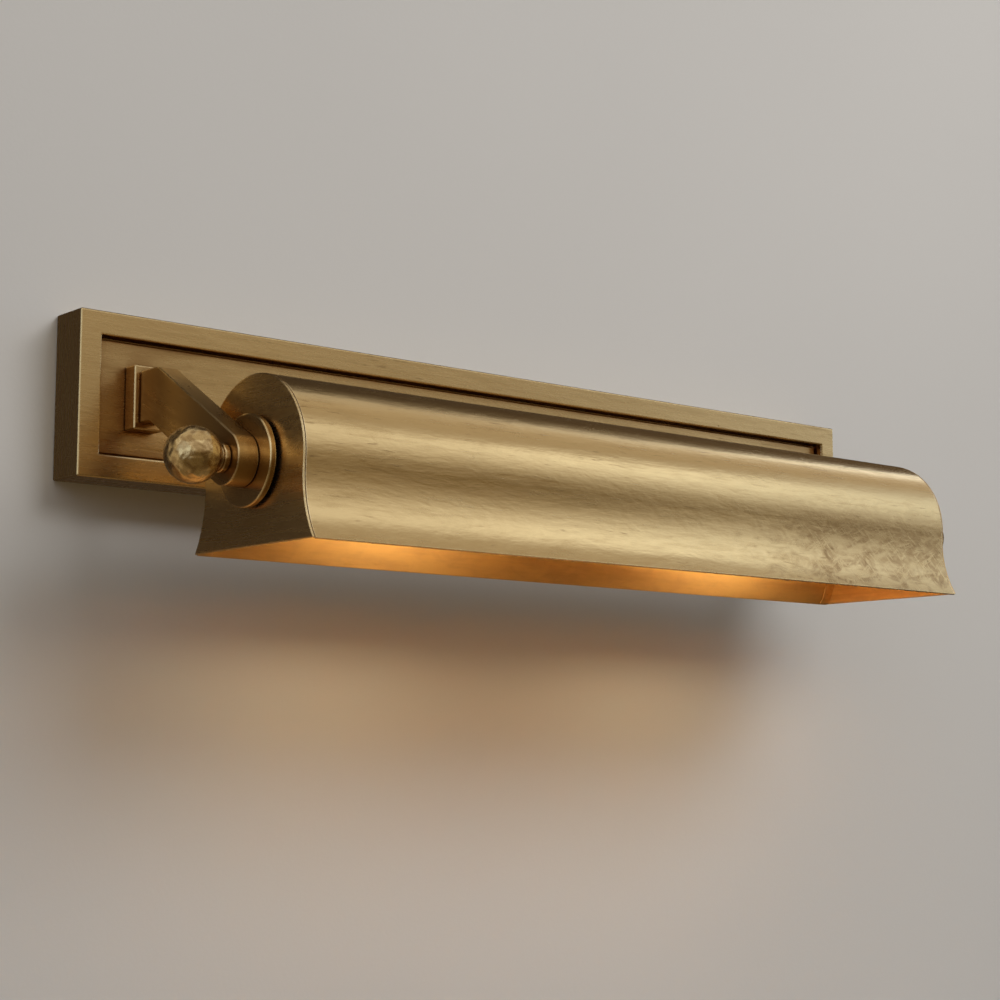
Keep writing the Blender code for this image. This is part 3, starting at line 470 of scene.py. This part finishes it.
def zinc_steel(name="zinc_steel_look", tint=PLATING, dull=PLATING_DULL):
    """Plated steel: cloudy plating with fine scratches and a dull bloom in the corners."""
    made, graph = new_material(name)
    place = object_place(graph)
    clouds = graph.noise(place, 130.0, 5.0, 0.6)
    grain = graph.noise(place, 1600.0, 2.0)
    scratches = graph.span(graph.noise(place, (30.0, 900.0, 900.0), 2.0), 0.62, 0.72)
    shade = graph.span(graph.total((clouds, 0.8), (grain, 0.2)), 0.35, 0.65)
    cavity = cavity_mask(graph, 0.004)
    edge, rounded = edge_mask(graph, 0.0004)
    colour = graph.mix(shade, tint, dull)
    colour = graph.layer(colour, cavity, 0.6, PLATING_GRIME)
    colour = graph.layer(colour, edge, 0.6, PLATING_EDGE)
    rough = graph.maths("ADD", graph.total((shade, 0.14), (scratches, -0.10), (cavity, 0.15)), 0.30)
    height = graph.total((clouds, 0.02), (grain, 0.006), (scratches, -0.006))
    graph.surface(Base_Color=colour, Metallic=1.0, Roughness=rough, Normal=graph.bump(height, rounded))
    return made


def green_screw():
    """The earth screw's green lacquer, worn to the same pattern as the plating."""
    return zinc_steel("earth_green_look", (0.05, 0.34, 0.12), (0.03, 0.20, 0.08))


FIBRE_BODY = (0.030, 0.021, 0.014)
FIBRE_HAIR = (0.095, 0.070, 0.048)


def black_fibre():
    """Pressed fibre: short pale hairs in a matt, near-black body."""
    made, graph = new_material("black_fibre_look")
    lay = lay_turned(graph)
    hairs = graph.noise(lay, (260.0, 1500.0, 1500.0), 3.0)
    cloud = graph.noise(lay, 300.0, 3.0)
    colour = graph.mix(graph.span(hairs, 0.55, 0.72), FIBRE_BODY, FIBRE_HAIR)
    height = graph.total((hairs, 0.03), (cloud, 0.03))
    graph.surface(Base_Color=colour, Roughness=graph.span(cloud, 0.3, 0.7, 0.70, 0.92),
                  Normal=graph.bump(height))
    return made


CREAM = (0.80, 0.76, 0.67)
CREAM_FLOW = (0.70, 0.65, 0.55)
CREAM_FLECK = (0.30, 0.25, 0.20)
BROWNED_CREAM = (0.34, 0.24, 0.14)


def thermoset():
    """Cream moulding with faint flow clouds, dark flecks, and heat-browned recesses."""
    made, graph = new_material("moulded_thermoset_look")
    place = object_place(graph)
    flow = graph.noise(place, (30.0, 90.0, 90.0), 4.0, 0.6, 1.2)
    fleck = graph.span(graph.noise(place, 2200.0, 1.0), 0.70, 0.76)
    colour = graph.mix(graph.span(flow, 0.35, 0.65), CREAM, CREAM_FLOW)
    colour = graph.layer(colour, fleck, 0.35, CREAM_FLECK)
    colour = graph.layer(colour, cavity_mask(graph, 0.005), 0.7, BROWNED_CREAM)
    peel = graph.noise(place, 700.0, 3.0)
    _, rounded = edge_mask(graph, 0.0005)
    graph.surface(Base_Color=colour, Roughness=graph.span(flow, 0.3, 0.7, 0.22, 0.34),
                  Subsurface_Weight=0.08, Subsurface_Scale=0.002, Coat_Weight=0.15,
                  Normal=graph.bump(graph.total((peel, 0.012)), rounded))
    return made


NICKEL = (0.70, 0.66, 0.56)
NICKEL_STAIN = (0.46, 0.37, 0.24)
BROWNED_NICKEL = (0.18, 0.13, 0.08)


def lamp_metal():
    """The lamps' rolled caps: nickel with turning marks and browned threads."""
    made, graph = new_material("lamp_cap_metal_look")
    lay = lay_turned(graph)
    turning = graph.noise(lay, (40.0, 900.0, 2400.0), 3.0)
    stain = graph.noise(lay, 160.0, 4.0)
    colour = graph.mix(graph.span(stain, 0.4, 0.7), NICKEL, NICKEL_STAIN)
    colour = graph.layer(colour, cavity_mask(graph, 0.002), 0.6, BROWNED_NICKEL)
    height = graph.total((turning, 0.010), (stain, 0.02))
    graph.surface(Base_Color=colour, Metallic=1.0, Roughness=graph.span(turning, 0.3, 0.7, 0.20, 0.38),
                  Normal=graph.bump(height))
    return made


FROSTED_GLASS = (0.86, 0.80, 0.70)
LAMP_COLOUR = (1.0, 0.60, 0.24)
LAMP_CORE = (1.0, 0.80, 0.50)
LAMP_STRENGTH = 17.0
LAMP_SEEN = 1.25                    # dimmer for the camera, so that the tube keeps its form
FILAMENT = (0.55, 0.60, 0.95)       # full glow from, full glow to and dim again, as shares from the tip
LAMP_ENDS = 0.10                    # glow at the tip and the neck


def lamp_glass():
    """A lit, satin-frosted tube: brightest along the hidden filament, dim at neck and tip."""
    made, graph = new_material("lamp_glass_look")
    x = graph.maths("ABSOLUTE", graph.split(object_place(graph))[0])
    low, high = GLASS_SPAN
    lit_from, lit_to, dim_at = (low + share * (high - low) for share in FILAMENT)
    from_tip = graph.span(x, low, lit_from, LAMP_ENDS, 1.0)
    from_neck = graph.span(x, lit_to, dim_at, 1.0, LAMP_ENDS)
    facing = graph.node("LayerWeight")
    facing.inputs["Blend"].default_value = 0.35
    core = graph.span(facing.outputs["Facing"], 0.75, 0.0)
    frost = graph.noise(object_place(graph), 900.0, 3.0)
    glow = graph.product(from_tip, from_neck, graph.span(core, 0.0, 1.0, 0.45, 1.0),
                         graph.span(frost, 0.3, 0.7, 0.93, 1.07))
    tint = graph.mix(graph.product(core, glow), LAMP_COLOUR, LAMP_CORE)
    seen = graph.node("LightPath").outputs["Is Camera Ray"]
    strength = graph.maths("MULTIPLY_ADD", seen, LAMP_SEEN - LAMP_STRENGTH, LAMP_STRENGTH)
    graph.surface(Base_Color=FROSTED_GLASS, Roughness=0.42, Coat_Weight=0.6, Coat_Roughness=0.08,
                  Emission_Color=tint, Emission_Strength=graph.product(glow, strength),
                  Normal=graph.bump(graph.total((frost, 0.01))))
    return made


YARN_TURNS = 5200.0                 # radians of yarn a metre of lead
STRIPE_TURNS = 620.0


def woven_sleeve(name, yarn, gap, stripes=None):
    """A braided sleeve: two sets of yarns that wind round the lead in opposite ways."""
    made, graph = new_material(name)
    place = object_place(graph)
    x, y, z = graph.split(place)
    one_way = graph.total((x, 1.0), (y, 1.0), (z, 1.0))
    other_way = graph.total((x, 1.0), (y, -1.0), (z, 1.0))
    first, second = (graph.maths("SINE", graph.product(run, YARN_TURNS)) for run in (one_way, other_way))
    weave = graph.span(graph.maths("MAXIMUM", first, second), -0.4, 0.9)
    fluff = graph.noise(place, 1500.0, 3.0)
    colour = graph.mix(weave, gap, yarn)
    if stripes:
        stripe = graph.maths("SINE", graph.product(one_way, STRIPE_TURNS))
        colour = graph.mix(graph.span(stripe, 0.35, 0.55), colour, stripes)
    colour = graph.mix(graph.span(fluff, 0.5, 0.8, 0.0, 0.35), colour, gap)
    height = graph.total((weave, 0.10), (fluff, 0.04))
    graph.surface(Base_Color=colour, Roughness=graph.span(fluff, 0.3, 0.7, 0.50, 0.75),
                  Sheen_Weight=0.2, Normal=graph.bump(height))
    return made


# ---------------------------------------------------------------- dressing the CAD pieces

SMOOTH_ANGLE = radians(32)
JOIN_DISTANCE = 0.00001


def smooth_by_angle():
    """A modifier tree that shades smooth, with sharp edges above the angle."""
    tree = bpy.data.node_groups.new("smooth_by_angle", "GeometryNodeTree")
    tree.interface.new_socket("Geometry", in_out="INPUT", socket_type="NodeSocketGeometry")
    tree.interface.new_socket("Geometry", in_out="OUTPUT", socket_type="NodeSocketGeometry")
    start = tree.nodes.new("NodeGroupInput")
    end = tree.nodes.new("NodeGroupOutput")
    faces = tree.nodes.new("GeometryNodeSetShadeSmooth")
    edges = tree.nodes.new("GeometryNodeSetShadeSmooth")
    faces.domain = "FACE"
    edges.domain = "EDGE"
    edges.inputs["Shade Smooth"].default_value = False
    angle = tree.nodes.new("GeometryNodeInputMeshEdgeAngle")
    sharp = tree.nodes.new("FunctionNodeCompare")
    sharp.operation = "GREATER_THAN"
    sharp.inputs[1].default_value = SMOOTH_ANGLE
    tree.links.new(start.outputs[0], faces.inputs["Geometry"])
    tree.links.new(faces.outputs[0], edges.inputs["Geometry"])
    tree.links.new(angle.outputs["Unsigned Angle"], sharp.inputs[0])
    tree.links.new(sharp.outputs[0], edges.inputs["Selection"])
    tree.links.new(edges.outputs[0], end.inputs[0])
    return tree


def dress(names, surface, smoothing):
    """Give CAD nodes their material, and join and smooth their loose triangles."""
    for name in names:
        node = NODES[name]
        mesh = node.data
        mesh.materials.clear()
        mesh.materials.append(surface)
        for layer in ("custom_normal", "sharp_edge", "sharp_face"):
            if layer in mesh.attributes:
                mesh.attributes.remove(mesh.attributes[layer])
        weld = node.modifiers.new("join", "WELD")
        weld.merge_threshold = JOIN_DISTANCE
        shading = node.modifiers.new("shading", "NODES")
        shading.node_group = smoothing


def both(*stems):
    return [f"{stem}_{side}" for stem in stems for side in SIDES]


def starting(*stems):
    return [name for name in NODES if name.startswith(stems)]


BROWN_YARN = (0.10, 0.065, 0.045)
BROWN_GAP = (0.02, 0.014, 0.010)
GREEN_YARN = (0.08, 0.30, 0.06)
GREEN_GAP = (0.03, 0.12, 0.03)
YELLOW_STRIPE = (0.75, 0.62, 0.06)


def brass_pieces():
    """Every kind of brass piece, with its material."""
    return (
        (["backplate_frame"], brass("frame_brass", lay_lengthwise, roughness=0.30, age=0.45, painted_shade=0.9)),
        (["backplate_panel"], brass("panel_brass", lay_lengthwise, roughness=0.30, painted_shade=0.9)),
        (both("arm"), brass("arm_brass", lay_arm, roughness=0.28, age=0.80, scuffed=0.2, painted_shade=0.55)),
        (both("arm_base"), brass("base_brass", lay_lengthwise, roughness=0.28, dents=0.4, painted_shade=0.8)),
        (both("pivot_disc"), brass("disc_brass", lay_turned, roughness=0.24, age=0.45, dents=0.4,
                                   scuffed=0.2, painted_shade=0.8)),
        (["shade_shell"], brass("shade_brass", lay_trough, roughness=0.27, age=0.42, dents=1.0,
                                scuffed=0.5, is_shade=True, has_inside=True)),
        (both("end_cap"), brass("end_cap_brass", lay_outward, age=0.55, dents=0.6, scuffed=0.4,
                                grain=0.45, has_inside=True)),
        (both("knob"), brass("knob_brass", lay_free, age=0.30, dents=2.0, scuffed=0.9, smaller=4.0,
                             painted_shade=0.3, dimples=1.35)),
    )


def other_pieces():
    """Everything that isn't brass, with its material."""
    steel = ["wall_bracket"] + starting("terminal_screw", "panel_screw", "arm_screw", "set_screw")
    return (
        (steel + both("pivot_stud", "stud_nut"), zinc_steel()),
        (["earth_screw"], green_screw()),
        (both("friction_washer"), black_fibre()),
        (["terminal_block"] + both("lampholder"), thermoset()),
        (both("lamp_cap"), lamp_metal()),
        (both("lamp_glass"), lamp_glass()),
        (both("supply_lead", "stud_lead"), woven_sleeve("lead_sleeve_look", BROWN_YARN, BROWN_GAP)),
        (["earth_lead"], woven_sleeve("earth_sleeve_look", GREEN_YARN, GREEN_GAP, YELLOW_STRIPE)),
    )


def dress_everything():
    smoothing = smooth_by_angle()
    for names, surface in (*brass_pieces(), *other_pieces()):
        dress(names, surface, smoothing)


# ---------------------------------------------------------------- stage, light and camera

STAGE_COLOUR = (0.66, 0.65, 0.63)
STAGE_TONE = 0.96                     # the paint's slightly darker clouds
STAGE_REACH = 9.0
FLOOR_Z = -0.62
WALL_Y = 0.0006
WALL_HEIGHT = 3.0

# The wall as the metal reflects it. Spans are in metres, along X or up Z.
WALL_SHADE = (0.038, 0.025, 0.015)
WALL_LIT = (0.080, 0.052, 0.028)
WALL_FAR = (0.40, 0.34, 0.25)
WALL_GLOW = (0.55, 0.30, 0.12)
LIT_ALONG = (-0.35, 0.50)
FAR_ALONG = (-0.42, -0.50)
GLOW_DOWN = (-0.06, -0.27)            # the pool of lamplight under the shade
GLOW_OUT = (0.60, 0.15)
DARK_WALL_TOP = (0.42, 0.22)          # above this the metal sees the studio; lower at the far right
TOP_DROPS_ALONG = (0.42, 0.60)


def plane(name, corners, surface):
    """A rectangle that lights and shadows leave alone, as part of the stage."""
    mesh = bpy.data.meshes.new(name)
    mesh.from_pydata(corners, [], [(0, 1, 2, 3)])
    mesh.materials.append(surface)
    made = bpy.data.objects.new(name, mesh)
    bpy.context.scene.collection.objects.link(made)
    made.visible_diffuse = False
    made.visible_shadow = False
    return made


def wall_in_metal(graph, x, z):
    """The darker, lamp-lit wall that the metal reflects."""
    glow = graph.product(graph.span(z, *GLOW_DOWN), graph.span(graph.maths("ABSOLUTE", x), *GLOW_OUT))
    plain = graph.mix(graph.span(x, *LIT_ALONG), WALL_SHADE, WALL_LIT)
    plain = graph.mix(graph.span(x, *FAR_ALONG), plain, WALL_FAR)
    reflected = graph.node("Emission")
    graph.feed(reflected.inputs["Color"], graph.mix(glow, plain, WALL_GLOW))
    return reflected


def stage_paint(name):
    """Plain pale paint with a faint roller texture, clear from behind."""
    made, graph = new_material(name)
    place = object_place(graph)
    x, _, z = graph.split(place)
    clouds = graph.span(graph.noise(place, 1.5, 2.0), 0.3, 0.7)
    colour = graph.mix(clouds, STAGE_COLOUR, tuple(STAGE_TONE * part for part in STAGE_COLOUR))
    roller = graph.total((graph.noise(place, 400.0, 2.0), 0.05))
    shader = graph.surface(Base_Color=colour, Roughness=0.85, Normal=graph.bump(roller))
    in_metal = graph.node("LightPath").outputs["Is Glossy Ray"]
    seen = graph.choose(in_metal, shader, wall_in_metal(graph, x, z))
    wall_top = graph.span(x, *TOP_DROPS_ALONG, *DARK_WALL_TOP)
    over_top = graph.product(in_metal, graph.maths("GREATER_THAN", z, wall_top))
    behind = graph.node("NewGeometry").outputs["Backfacing"]
    hidden = graph.maths("MAXIMUM", behind, over_top)
    chosen = graph.choose(hidden, seen, graph.node("BsdfTransparent"))
    output = next(node for node in graph.tree.nodes if node.type == "OUTPUT_MATERIAL")
    graph.tree.links.new(chosen.outputs[0], output.inputs["Surface"])
    return made


def build_stage():
    far = STAGE_REACH
    top = FLOOR_Z + WALL_HEIGHT
    floor = plane("floor", [(-far, -far, FLOOR_Z), (far, -far, FLOOR_Z), (far, far, FLOOR_Z),
                            (-far, far, FLOOR_Z)], stage_paint("floor_paint"))
    floor.visible_glossy = False
    plane("wall", [(-far, WALL_Y, FLOOR_Z), (far, WALL_Y, FLOOR_Z), (far, WALL_Y, top),
                   (-far, WALL_Y, top)], stage_paint("wall_paint"))


# Light from each direction round the light's length: 0 is straight out of the wall, 90 is up,
# 180 is the wall. Warm room light, as (angle, level, warmth), and the two soft boxes, as
# (angle, level).
ROOM = (
    (-180, 1.00, 0.25), (-150, 1.15, 0.25), (-115, 0.40, 0.6), (-95, 0.21, 0.9), (-45, 0.13, 1.1),
    (-12, 0.105, 1.12), (4, 0.14, 1.12), (18, 0.25, 1.05), (30, 0.36, 0.85), (45, 0.44, 0.7),
    (62, 0.41, 0.7), (76, 0.48, 0.7), (88, 0.52, 0.68), (100, 0.36, 0.7), (106, 0.10, 1.0),
    (125, 0.10, 1.1), (145, 0.55, 0.4), (180, 1.00, 0.25),
)
BOXES = (
    (-180, 0.0), (8, 0.0), (23, 0.21), (35, 0.66), (44, 0.98), (50, 0.96), (59, 0.06), (64, 0.0),
    (88, 0.0), (93, 0.24), (101, 0.62), (106, 0.02), (112, 0.0), (180, 0.0),
)
COOL = Vector((1.0, 1.12, 1.30))
WARM = Vector((1.0, 0.75, 0.44))
DOME_STRENGTH = 0.98
DOME_TOP = 1.4                        # ramps hold colours up to 1, so levels are scaled down and back
BACKGROUND = (0.60, 0.59, 0.575)      # what the camera itself sees

# How the bands change towards the ends of the light. A span of how far sideways a direction
# looks (0 is square to the light, 1 along it) comes first, and then the value at each end of it.
ZOOM_CENTRE = radians(62)
UPPER_ZOOM = (0.71, 0.78, 1.0, 0.76)
NEAR_ZOOM = (0.56, 0.67, 0.84, 1.0)
FAR_ZOOM = (0.67, 0.76, 1.0, 0.82)
BOX_LEVEL = (0.60, 0.74, 0.42, 1.42)
FAR_END = (0.71, 0.78)
HIGH_BOX = (radians(76), radians(92))
HIGH_BOX_EXTRA = 1.1
GAP_START = (radians(38), radians(54))
GAP_END = (radians(84), radians(70))
GAP_DROP = -0.75

# A round light beyond each end of the light
SIDE_LIGHTS = (Vector((-0.90, -0.30, 0.25)), Vector((0.90, -0.30, 0.25)))
SIDE_SPREAD = (cos(radians(26)), cos(radians(12)))
SIDE_LEVEL = 0.75


def bands(graph, turn, stops):
    """Colours by angle, from (angle in degrees, colour) pairs."""
    return graph.ramp(turn, [((angle + 180) / 360, tuple(colour / DOME_TOP)) for angle, colour in stops])


def zoomed(graph, around, sideways):
    """The angle round the light, with the bands drawn in and spread towards the ends."""
    above = graph.maths("SUBTRACT", around, ZOOM_CENTRE)
    upper = graph.product(graph.maths("MAXIMUM", above, 0.0), graph.span(sideways, *UPPER_ZOOM))
    lower = graph.product(graph.maths("MINIMUM", above, 0.0), graph.span(sideways, *NEAR_ZOOM),
                          graph.span(sideways, *FAR_ZOOM))
    return graph.total((upper, 1.0), (lower, 1.0), (ZOOM_CENTRE, 1.0))


def box_level(graph, around, sideways):
    """How strongly the soft boxes shine in each direction."""
    far = graph.span(sideways, *FAR_END)
    level = graph.span(sideways, *BOX_LEVEL)
    high = graph.product(graph.span(around, *HIGH_BOX), far)
    level = graph.maths("MULTIPLY_ADD", high, HIGH_BOX_EXTRA, level)
    gap = graph.product(graph.span(around, *GAP_START), graph.span(around, *GAP_END), far)
    return graph.product(level, graph.maths("MULTIPLY_ADD", gap, GAP_DROP, 1.0))


def light_dome():
    """Soft studio light: broad bands that run along the light, seen only as reflections."""
    world = bpy.data.worlds.new("studio")
    bpy.context.scene.world = world
    world.use_nodes = True
    graph = Graph(world.node_tree)
    x, y, z = graph.split(graph.node("TexCoord").outputs["Generated"])
    sideways = graph.maths("ABSOLUTE", x)
    around = zoomed(graph, graph.maths("ARCTAN2", z, graph.maths("MULTIPLY", y, -1.0)), sideways)
    turn = graph.maths("MULTIPLY_ADD", around, 1 / (2 * pi), 0.5)
    room = bands(graph, turn, [(angle, COOL.lerp(WARM, warmth) * level) for angle, level, warmth in ROOM])
    boxes = bands(graph, turn, [(angle, COOL * level) for angle, level in BOXES])
    level = box_level(graph, around, sideways)
    light = graph.vector("MULTIPLY_ADD", boxes, graph.join(level, level, level), room)
    for side_light in SIDE_LIGHTS:
        towards = graph.vector("DOT_PRODUCT", graph.join(x, y, z), tuple(side_light.normalized()))
        light = graph.mix(graph.span(towards, *SIDE_SPREAD), light, tuple(COOL * (SIDE_LEVEL / DOME_TOP)))
    lit = graph.node("Background")
    graph.feed(lit.inputs["Color"], light)
    graph.feed(lit.inputs["Strength"], DOME_TOP * DOME_STRENGTH)
    plain = graph.node("Background")
    graph.feed(plain.inputs["Color"], BACKGROUND)
    chosen = graph.choose(graph.node("LightPath").outputs["Is Camera Ray"], lit, plain)
    output = graph.node("OutputWorld")
    graph.tree.links.new(chosen.outputs[0], output.inputs["Surface"])


WASH_SIZE = (1.6, 0.8)
WASH_WATTS = 26.0
WASH_PLACE = Vector((0.7, -1.9, 1.3))
WASH_AIM = Vector((0.0, 0.0, -0.05))


def wash_light():
    """A broad soft light for the paint and the shadow on the wall, which the metal does not show."""
    light = bpy.data.lights.new("wash", "AREA")
    light.shape = "RECTANGLE"
    light.size, light.size_y = WASH_SIZE
    light.energy = WASH_WATTS
    made = bpy.data.objects.new("wash", light)
    bpy.context.scene.collection.objects.link(made)
    made.location = WASH_PLACE
    made.rotation_euler = (WASH_AIM - WASH_PLACE).to_track_quat("-Z", "Y").to_euler()
    made.visible_glossy = False


CAMERA_PLACE = (-0.8254, -0.9878, -0.1998)
CAMERA_YAW = radians(40.26)           # to the right of straight at the wall
CAMERA_PITCH = radians(7.52)          # upwards
CAMERA_LENS = 73.53                   # in millimetres, on a sensor this wide
SENSOR_WIDTH = 36.0
NEAREST_SEEN = 0.01


def place_camera():
    camera = bpy.data.cameras.new("camera")
    camera.lens = CAMERA_LENS
    camera.sensor_width = SENSOR_WIDTH
    camera.clip_start = NEAREST_SEEN
    made = bpy.data.objects.new("camera", camera)
    bpy.context.scene.collection.objects.link(made)
    made.location = CAMERA_PLACE
    made.rotation_euler = Euler((pi / 2 + CAMERA_PITCH, 0.0, -CAMERA_YAW))
    bpy.context.scene.camera = made


# ---------------------------------------------------------------- assembly

dress_everything()
build_stage()
light_dome()
wash_light()
place_camera()
bpy.context.scene.view_settings.view_transform = "Standard"
